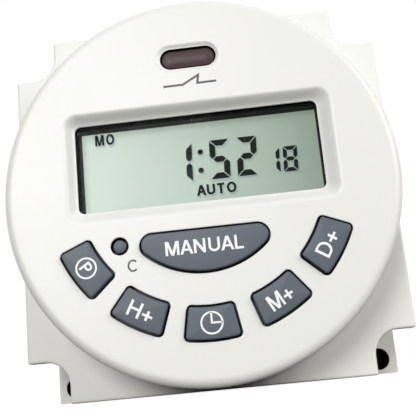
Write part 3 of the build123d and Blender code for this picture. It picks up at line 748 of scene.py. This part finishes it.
def ellipse(centre, across, up, start, end, steps=14):
    angle = np.radians(np.linspace(start, end, steps))
    return [(centre[0] + across * math.cos(a), centre[1] + up * math.sin(a)) for a in angle]


def mirrored(half, width):
    # the left half of an outline, then the same points on the right in the opposite order
    return half + [(width - x, z) for x, z in reversed(half)]


def capital(letter, s):
    # width, outer edge and holes of a plain capital, one unit high, whose strokes are s wide
    if letter == "L":
        return 0.56, [(0, 0), (0.56, 0), (0.56, s), (s, s), (s, 1), (0, 1)], []
    if letter == "T":
        w = 0.64
        side = (w - s) / 2
        return w, mirrored([(0, 1), (0, 1 - s), (side, 1 - s), (side, 0)], w), []
    if letter == "H":
        w, low, high = 0.74, 0.52 - s / 2, 0.52 + s / 2
        return w, mirrored([(s, high), (s, 1), (0, 1), (0, 0), (s, 0), (s, low)], w), []
    if letter == "+":
        w, h, z = 0.62, s / 2, 0.40
        r = w / 2
        half = [(r - h, z + r), (r - h, z + h), (0, z + h), (0, z - h), (r - h, z - h), (r - h, z - r)]
        return w, mirrored(half, w), []
    if letter == "N":
        w, d = 0.76, 2.1 * s
        return w, [(0, 0), (s, 0), (s, 1 - d), (w - s, 0), (w, 0), (w, 1), (w - s, 1), (w - s, d), (s, 1),
                   (0, 1)], []
    if letter == "M":
        w, d, e, top = 0.90, 2.3 * s, 0.6 * s, 1.4 * s
        m = w / 2
        valley = 1 - (m - top) * (1 - d) / (m - e - s)
        half = [(top, 1), (0, 1), (0, 0), (s, 0), (s, 1 - d), (m - e, 0)]
        return w, [(m, valley)] + mirrored(half, w), []
    if letter == "A":
        w, c, foot, bar = 0.84, 0.58 * s, 1.1 * s, 0.24
        slope = w / 2 - c
        high = bar + 0.9 * s
        outer = mirrored([(w / 2 - c, 1), (0, 0), (foot, 0), (foot + bar * slope, bar)], w)
        return w, outer, [[(foot + high * slope, high), (w - foot - high * slope, high),
                           (w / 2, (w / 2 - foot) / slope)]]
    if letter == "U":
        w = 0.74
        r = w / 2
        return w, ([(0, 1)] + ellipse((r, r), r, r, 180, 360) + [(w, 1), (w - s, 1)]
                   + ellipse((r, r), r - s, r - s, 360, 180) + [(s, 1)]), []
    if letter == "D":
        w, r, t = 0.76, 0.42, 0.95 * s
        return w, [(0, 0)] + ellipse((w - r, 0.5), r, 0.5, -90, 90) + [(0, 1)], [
            [(s, t)] + ellipse((w - r, 0.5), r - s, 0.5 - t, -90, 90) + [(s, 1 - t)]]
    if letter == "P":
        w, r, t = 0.70, 0.30, 0.9 * s
        return w, [(0, 0), (s, 0), (s, 1 - 2 * r)] + ellipse((w - r, 1 - r), r, r, -90, 90) + [(0, 1)], [
            [(s, 1 - 2 * r + t)] + ellipse((w - r, 1 - r), r - t, r - t, -90, 90) + [(s, 1 - t)]]
    if letter == "C":
        r, h = 0.43, 0.52
        return 0.80, ellipse((r, 0.5), r, h, 42, 318, 26) + ellipse((r, 0.5), r - s, h - s, 318, 42, 26), []
    r, h = 0.42, 0.51
    return 2 * r, ellipse((r, 0.5), r, h, 0, 348, 30), [ellipse((r, 0.5), r - s, h - s, 0, 348, 30)]


def lettering(text, high, wide, place, angle=0.0, stroke=0.17):
    # the outlines of a word, centred on place in the face plane, turned, and as wide as it is told
    loops, pen = [], 0.0
    for letter, following in zip(text, text[1:] + " "):
        width, outer, holes = capital(letter, stroke)
        loops.append([np.array(loop, float) + (pen, 0) for loop in [outer] + holes])
        right = pen + width
        space = 0.05 if "A" in letter + following else 0.12 if following == "+" else 0.19
        pen = right + space
    stretch = wide / right
    shapes = []
    for group in loops:
        flat = [turned((loop - (0, 0.5)) * (stretch, high) - (wide / 2, 0), angle) + place for loop in group]
        shapes.append((flat[0], flat[1:]))
    return shapes


def strokePath(route, width):
    # the outline of a line of even width through the points, mitred where it turns
    route = np.array(route)
    step = np.diff(route, axis=0)
    step /= np.linalg.norm(step, axis=1, keepdims=True)
    before, after = np.vstack([step[:1], step]), np.vstack([step, step[-1:]])
    mitre = before + after
    mitre /= np.linalg.norm(mitre, axis=1, keepdims=True)
    side = np.stack([-mitre[:, 1], mitre[:, 0]], -1)
    normal = np.stack([-before[:, 1], before[:, 0]], -1)
    side *= (width / 2 / (side * normal).sum(1))[:, None]
    return np.concatenate([route + side, (route - side)[::-1]])


# display
displayShape = {
    "big": (0.0031, 0.0062, 0.00094, 0.00011),        # wide, high, stroke, gap between the bars
    "small": (0.0022, 0.0040, 0.00062, 0.000088),
    "bigDigits": [("1", -0.0026), ("5", 0.0032), ("2", 0.0074)],
    "smallDigits": [("1", 0.01125), ("8", 0.01395)],
    "bigZ": 0.00445,
    "smallZ": 0.00327,
    "lean": 0.045,               # sideways shift of a figure's top for each unit of height
    "dotsX": 0.00024,
    "dotRise": 0.00148,
    "dotRadius": 0.00043,
    "words": [("MO", 0.00175, 0.00305, (-0.01446, 0.0096)), ("AUTO", 0.00165, 0.0061, (0.00225, -0.00018))],
    "wordStroke": 0.21,
    "ink": (0.006, 0.011, 0.010),
    "inkThick": 0.00002,
    "inkLift": 0.00001,
    "shadowDrop": (0.00016, -0.00034),                # the shadow falls to the lower right
    "shadowSoft": 0.00022,
    "glassThick": 0.0006,
    "grid": (320, 132),          # points across and up, fine enough for the shadow's edge
}

segmentsOf = {"1": "bc", "2": "abged", "5": "afgcd", "8": "abcdefg"}


def segmentLoops(digit, centre, wide, high, stroke, gap):
    # the seven bars of a digit have slanted ends; they are three shapes, turned over across or up
    right, top = wide / 2, high / 2
    s, g, h = stroke, gap, stroke / 2
    level = [(g - right, top), (right - g, top), (right - s - g, top - s), (s + g - right, top - s)]
    side = [(-right, top - g), (s - right, top - s - g), (s - right, h + g), (h - right, g), (-right, h + g)]
    middle = [(h + g - right, 0), (s + g - right, h), (right - s - g, h), (right - h - g, 0),
              (right - s - g, -h), (s + g - right, -h)]
    bars = {"a": (level, 1, 1), "d": (level, 1, -1), "g": (middle, 1, 1), "f": (side, 1, 1),
            "e": (side, 1, -1), "b": (side, -1, 1), "c": (side, -1, -1)}
    loops = []
    for bar in segmentsOf[digit]:
        points, across, up = bars[bar]
        loop = np.array(points) * (across, up)
        loop[:, 0] += loop[:, 1] * displayShape["lean"]
        loops.append(loop + np.array(centre))
    return loops


def figureShapes():
    # the outer edge and the holes of everything the display shows
    shape = displayShape
    loops = []
    for size in ("big", "small"):
        for digit, x in shape[size + "Digits"]:
            loops += segmentLoops(digit, (x, shape[size + "Z"]), *shape[size])
    for rise in (-shape["dotRise"], shape["dotRise"]):
        spot = (shape["dotsX"] + rise * shape["lean"], shape["bigZ"] + rise)
        loops.append(circleLoop(shape["dotRadius"], 24, spot))
    shapes = [(loop, []) for loop in loops]
    for text, high, wide, place in shape["words"]:
        shapes += lettering(text, high, wide, place, stroke=shape["wordStroke"])
    return shapes


def slabOf(shapes, depth, thick):
    # flat slabs with the given outlines and holes, from the depth to one thickness in front of it
    slab = Builder()
    for outer, holes in shapes:
        for loop in [outer] + list(holes):
            slab.wall([atDepth(loop, depth), atDepth(loop, depth - thick)])
        slab.lid(outer, holes, depth)
        slab.lid(outer, holes, depth - thick)
    return slab


def edgeDistance(points, loop):
    # distance of each point from a closed outline, negative inside it
    start = loop[None]
    step = (np.roll(loop, -1, axis=0) - loop)[None]
    along = ((points[:, None] - start) * step).sum(-1) / np.maximum((step ** 2).sum(-1), 1e-18)
    near = start + step * np.clip(along, 0, 1)[..., None]
    distance = np.linalg.norm(points[:, None] - near, axis=-1).min(1)
    return np.where(inside(loop, points), -distance, distance)


def figureShadow(flat, shapes):
    # for each point of the glass, one well inside a figure's shifted outline, nought well outside it,
    # and between them a smooth step of its distance from the edge
    drop = np.array(displayShape["shadowDrop"])
    soft = displayShape["shadowSoft"]
    shade = np.zeros(len(flat))
    for outer, holes in shapes:
        low, high = outer.min(0) + drop - 3 * soft, outer.max(0) + drop + 3 * soft
        near = ((flat > low) & (flat < high)).all(1)
        place = flat[near] - drop
        cover = 1 / (1 + np.exp(3 * edgeDistance(place, outer) / soft))
        for hole in holes:
            cover *= 1 / (1 + np.exp(-3 * edgeDistance(place, hole) / soft))
        shade[near] = np.maximum(shade[near], cover)
    return shade


def makeDisplay():
    # the glass is a fine grid, and each point stores how much of the figures' soft shadow falls on it
    shape = displayShape
    shapes = figureShapes()
    columns, rows = shape["grid"]
    x = np.linspace(glassLow.x, glassHigh.x, columns)
    z = np.linspace(glassLow.z, glassHigh.z, rows)
    flat = np.stack(np.meshgrid(x, z), -1).reshape(-1, 2)
    depth = glassLow.y - faceY - shape["inkThick"]
    glass = Builder()
    front = atDepth(flat, depth)
    glass.add(front, gridFaces(rows, columns, closed=False))
    sheet = front.reshape(rows, columns, 3)
    edge = np.concatenate([sheet[0], sheet[1:, -1], sheet[-1, -2::-1], sheet[-2:0:-1, 0]])
    deeper = edge + (0, shape["glassThick"], 0)
    glass.wall([edge, deeper])
    glass.add(deeper, [list(range(len(deeper)))])
    piece = addPiece("lcdPanel", glass, displayMaterial(), "case", ["lcd_front_glass"],
                     smooth=False)
    # the shadow is looked up again on the merged mesh by grid position
    shade = figureShadow(flat, shapes)
    points = np.zeros(len(piece.data.vertices) * 3)
    piece.data.vertices.foreach_get("co", points)
    points = points.reshape(-1, 3)
    column = np.rint((points[:, 0] - x[0]) / (x[1] - x[0])).astype(int)
    row = np.rint((points[:, 2] - z[0]) / (z[1] - z[0])).astype(int)
    attribute = piece.data.attributes.new("figureShade", "FLOAT", "POINT")
    attribute.data.foreach_set("value", shade[row * columns + column])
    ink = plastic("figureInk", shape["ink"], roughness=0.6, grainHeight=0.0, cloud=0.1, dust=0.0,
                  specular=0.1)
    figures = slabOf(shapes, depth - shape["inkLift"], shape["inkThick"])
    addPiece("lcdFigures", figures, ink, "case", smooth=False)


def displayMaterial():
    # grey-green with painted light: paler to the left and lower down, darker to the upper right
    material, tree, shader = newMaterial("displayGlass")
    place = objectPlace(tree)
    axes = objectAxes(tree)
    across = rangeNode(tree, axes["X"], -0.018, 0.0186)
    lift = rangeNode(tree, axes["Z"], -0.003, 0.0115, 0.04, -0.04)
    drift = rangeNode(tree, noiseNode(tree, place, 110.0, 3.0), 0.0, 1.0, -0.05, 0.05)
    blend = mathNode(tree, "SUBTRACT", mathNode(tree, "ADD", across, drift), lift, clamp=True)
    ramp = addNode(tree, "ShaderNodeValToRGB", Fac=blend)
    stops = ((0.0, (0.64, 0.75, 0.665)), (0.45, (0.49, 0.59, 0.51)), (1.0, (0.30, 0.385, 0.30)))
    ramp.color_ramp.elements.new(stops[1][0])
    for element, (position, color) in zip(ramp.color_ramp.elements, stops):
        element.position = position
        element.color = (*color, 1.0)
    # painted shadow: the stored shadow makes the colour a little darker and bluer
    shade = addNode(tree, "ShaderNodeAttribute", {"attribute_name": "figureShade"})
    amount = mathNode(tree, "MULTIPLY", shade.outputs["Fac"], 0.60)
    tone = mixColor(tree, amount, ramp.outputs[0], (0.20, 0.27, 0.29))
    # painted glow: the glass also shines with its own colour, though it is no lamp, to fill in the shade
    dim = mixColor(tree, 1.0, tone, (0.40, 0.40, 0.40), "MULTIPLY")
    feed(tree, shader, {"Base Color": dim, "Emission Color": tone, "Emission Strength": 0.68,
                        "Specular IOR Level": 0.15, "Roughness": 0.38})
    addBump(tree, shader, noiseNode(tree, place, 16000.0, 2.0), 0.06)
    return material


makeDisplay()
print("display ready")


# legends on the face and the keys
legendShape = {
    "thick": 0.00012,
    "lift": 0.000015,            # how far the print stands off the key's crown
    "keySize": (0.00228, 0.00375),                    # height and width of each word
    "manualSize": (0.00205, 0.01128),
    "ringRadius": 0.00145,
    "clockRadius": 0.00150,
    "ringStroke": 0.00027,
    "programSize": (0.0018, 0.00125),
    "capStroke": 0.15,           # strokes of capitals, in cap heights
    "programStroke": 0.19,
    "manualStroke": 0.16,
    "manualPlace": (-0.00008, -0.00957),
    "resetSize": (0.00175, 0.0015),
    "resetPlace": (-0.01072, -0.01134),
    "printThick": 0.00003,       # the grey print on the face
    "printDepth": -0.00002,
    "contactStroke": 0.00034,
    "contactRoute": [(-0.00411, 0.01549), (-0.00113, 0.01549), (0.00134, 0.0168), (0.00113, 0.01553),
                     (0.00402, 0.01554)],
}


def ringShape(centre, radius, stroke):
    return circleLoop(radius + stroke / 2, 64, centre), [circleLoop(radius - stroke / 2, 64, centre)]


def addLegend(name, shapes, front, thick, material, body):
    addPiece(name, slabOf(shapes, front + thick, thick), material, body, smooth=False)


def makeLegends():
    shape = legendShape
    middle = (keyShape["inner"] + keyShape["outer"]) / 2
    front = -keyShape["proud"] - keyShape["crown"] - shape["lift"]
    stroke = shape["ringStroke"]
    texts = {"key_hour": "H+", "key_minute": "M+", "key_day": "D+"}
    prints = {}
    for place, name in enumerate(keyNames):
        angle = (place - 2) * keyShape["pitch"]
        spot = (middle * math.sin(angle), -middle * math.cos(angle))
        if name in texts:
            prints[name] = lettering(texts[name], *shape["keySize"], spot, angle, shape["capStroke"])
        elif name == "key_program":
            prints[name] = [ringShape(spot, shape["ringRadius"], stroke)]
            prints[name] += lettering("P", *shape["programSize"], spot, angle, shape["programStroke"])
        else:
            radius = shape["clockRadius"]
            hands = strokePath([(spot[0], spot[1] + radius), spot, (spot[0] + radius, spot[1])], stroke)
            prints[name] = [ringShape(spot, radius, stroke), (hands, [])]
    prints["key_manual"] = lettering("MANUAL", *shape["manualSize"], shape["manualPlace"],
                                     stroke=shape["manualStroke"])
    for key, shapes in prints.items():
        name = key.replace("key_", "legend_")
        addLegend(name, shapes, front, shape["thick"], inkWhite, key)
    letter = lettering("C", *shape["resetSize"], shape["resetPlace"], stroke=shape["capStroke"])
    symbol = [(strokePath(shape["contactRoute"], shape["contactStroke"]), [])]
    for name, shapes in (("legend_reset", letter), ("legend_contact", symbol)):
        addLegend(name, shapes, shape["printDepth"], shape["printThick"], inkGrey, "case")


makeLegends()
print("legends ready")


def windowMaterial():
    material, tree, shader = newMaterial("windowClear")
    feed(tree, shader, {"Base Color": (0.02, 0.02, 0.02, 1.0), "Roughness": 0.04, "Alpha": 0.03,
                        "Specular IOR Level": 0.35})
    return material


def softened(node, width, material):
    # a merged copy of a carried-over part with its sharp edges slightly rounded
    source = frame["nodes"][node]
    mesh = source.data.copy()
    piece = newObject(node.title().replace("_", ""), mesh)
    work = bmesh.new()
    work.from_mesh(mesh)
    bmesh.ops.remove_doubles(work, verts=work.verts, dist=1e-6)
    bmesh.ops.dissolve_limit(work, angle_limit=math.radians(2), verts=work.verts, edges=work.edges)
    for face in work.faces:
        face.smooth = True
    work.to_mesh(mesh)
    work.free()
    mesh.materials.clear()
    mesh.materials.append(material)
    bevel = piece.modifiers.new("edges", "BEVEL")
    bevel.width = width
    bevel.segments = 2
    bevel.limit_method = "ANGLE"
    bevel.angle_limit = math.radians(35)
    weighted = piece.modifiers.new("normals", "WEIGHTED_NORMAL")
    weighted.weight = 100
    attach(piece, source["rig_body"])
    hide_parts(node)


softened("rear_base", 0.00018, baseWhite)
softened("rail_clip", 0.00020, clipBlack)
softened("terminal_clamps", 0.00010, zincSteel)

finishes = [
    (windowMaterial(), ["display_window"]),
    (frameBlack, ["lcd_frame", "lcd_rear_glass"]),
    (canSteel, ["lcd_reflector", "crystal"]),
    (partBlack, ["zebra_strip", "contact_pills", "controller_blob", "surface_chips", "rectifier_diodes",
                 "link_header", "link_socket", "relay_base"]),
    (zincSteel, ["board_screws", "case_screws", "terminal_screws", "relay_yoke", "relay_armature"]),
    (brassBright, ["terminal_bars", "link_pins"]),
    (springSteel, ["clip_spring"]),
    (copperWire, ["relay_winding", "moving_contact", "fixed_contact"]),
    (plastic("matSilicone", (0.42, 0.42, 0.40), roughness=0.6), ["keypad_mat"]),
    (plastic("boardGreen", (0.02, 0.13, 0.05), roughness=0.4, cloud=0.15), ["logic_board"]),
    (plastic("ledRed", (0.55, 0.03, 0.02), roughness=0.12, grainHeight=0.0), ["indicator_led"]),
    (plastic("batterySleeve", (0.03, 0.24, 0.12), roughness=0.3), ["backup_battery"]),
    (plastic("boardTan", (0.42, 0.30, 0.12), roughness=0.5, cloud=0.15), ["power_board"]),
    (plastic("capacitorBox", (0.50, 0.13, 0.04), roughness=0.35), ["film_capacitor"]),
    (plastic("capacitorSleeve", (0.02, 0.03, 0.08), roughness=0.25), ["smoothing_capacitor"]),
    (plastic("varistorBlue", (0.04, 0.13, 0.40), roughness=0.35), ["varistor"]),
    (plastic("resistorBody", (0.24, 0.36, 0.42), roughness=0.4), ["power_resistors"]),
    (plastic("relayBlue", (0.02, 0.09, 0.28), roughness=0.3), ["relay_case"]),
    (plastic("bobbinWhite", (0.70, 0.69, 0.64), roughness=0.5), ["relay_bobbin"]),
]
for material, nodes in finishes:
    for node in nodes:
        mesh = frame["nodes"][node].data
        mesh.materials.clear()
        mesh.materials.append(material)
print("finishes ready")


# floor, light and camera
stageShape = {
    "floorSize": 1.6,
    "floorGap": 0.00005,
    "floorColor": (0.30, 0.29, 0.275, 1.0),
    "glowFrom": (0.04, 0.84),    # distance from the object, and how brightly the camera sees the floor there
    "glowTo": (0.12, 1.0),
    "worldStrength": 0.30,
    "lamps": {                   # place, size, energy
        "keyLamp": ((-0.45, -1.48, 0.52), 0.80, 14.8),
        "fillLamp": ((0.60, -0.42, 0.32), 0.40, 3.2),
        "backLamp": ((0.20, 1.50, 0.45), 1.60, 13.0),
    },
    "cameraPlace": (0.00723, -0.13097, -0.02840),
    "cameraAhead": (-0.0574, 0.9721, 0.2276),
    "cameraUp": (0.1083, -0.2206, 0.9693),
    "cameraLens": 64.64,
}


def makeFloor():
    shape = stageShape
    half = shape["floorSize"] / 2
    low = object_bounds()[0][2] - shape["floorGap"]
    mesh = bpy.data.meshes.new("floor")
    mesh.from_pydata([(-half, -half, low), (half, -half, low), (half, half, low), (-half, half, low)], [],
                     [(0, 1, 2, 3)])
    material, tree, shader = newMaterial("floorWhite")
    path = tree.nodes.new("ShaderNodeLightPath")
    away = addNode(tree, "ShaderNodeVectorMath", {"operation": "LENGTH"})
    feed(tree, away, {0: objectPlace(tree)})
    # brighter away from the object, so that the floor runs into the white behind it
    (near, dim), (far, bright) = shape["glowFrom"], shape["glowTo"]
    glow = rangeNode(tree, away.outputs["Value"], near, far, dim, bright)
    seen = mathNode(tree, "MULTIPLY", path.outputs["Is Camera Ray"], glow)
    feed(tree, shader, {"Base Color": shape["floorColor"], "Roughness": 0.9, "Specular IOR Level": 0.0,
                        "Emission Color": (1.0, 1.0, 1.0, 1.0), "Emission Strength": seen})
    mesh.materials.append(material)
    newObject("floor", mesh)


def makeWorld():
    # white where it is seen, mirrored or looked at through something clear, and dimmer as a light
    world = bpy.data.worlds.new("studio")
    world.use_nodes = True
    tree = world.node_tree
    tree.nodes.clear()
    path = tree.nodes.new("ShaderNodeLightPath").outputs
    seen = mathNode(tree, "ADD", path["Is Camera Ray"], path["Is Glossy Ray"], clamp=True)
    seen = mathNode(tree, "ADD", seen, path["Is Transmission Ray"], clamp=True)
    dim = stageShape["worldStrength"]
    background = addNode(tree, "ShaderNodeBackground", Color=(1.0, 1.0, 1.0, 1.0),
                         Strength=mathNode(tree, "MULTIPLY_ADD", seen, 1.0 - dim, dim))
    addNode(tree, "ShaderNodeOutputWorld", Surface=background.outputs[0])
    scene.world = world


def makeLamps():
    for name, (place, size, energy) in stageShape["lamps"].items():
        lamp = bpy.data.lights.new(name, "AREA")
        lamp.shape = "DISK"
        lamp.size = size
        lamp.energy = energy
        holder = newObject(name, lamp)
        holder.location = place
        holder.rotation_euler = (-Vector(place)).to_track_quat("-Z", "Y").to_euler()


def makeCamera():
    # a near camera a little below and right of the middle, looking slightly upwards
    place, ahead, up = [Vector(stageShape["camera" + name]) for name in ("Place", "Ahead", "Up")]
    side = ahead.cross(up).normalized()
    up = side.cross(ahead).normalized()
    lens = bpy.data.cameras.new("camera")
    lens.lens = stageShape["cameraLens"]
    lens.sensor_width = 36.0
    lens.clip_start = 0.005
    camera = newObject("camera", lens)
    facing = Matrix((side, up, -ahead.normalized())).transposed().to_4x4()
    camera.matrix_world = Matrix.Translation(place) @ facing
    bpy.context.scene.camera = camera


scene.view_settings.view_transform = "Standard"
makeFloor()
makeWorld()
makeLamps()
makeCamera()
print("stage ready")
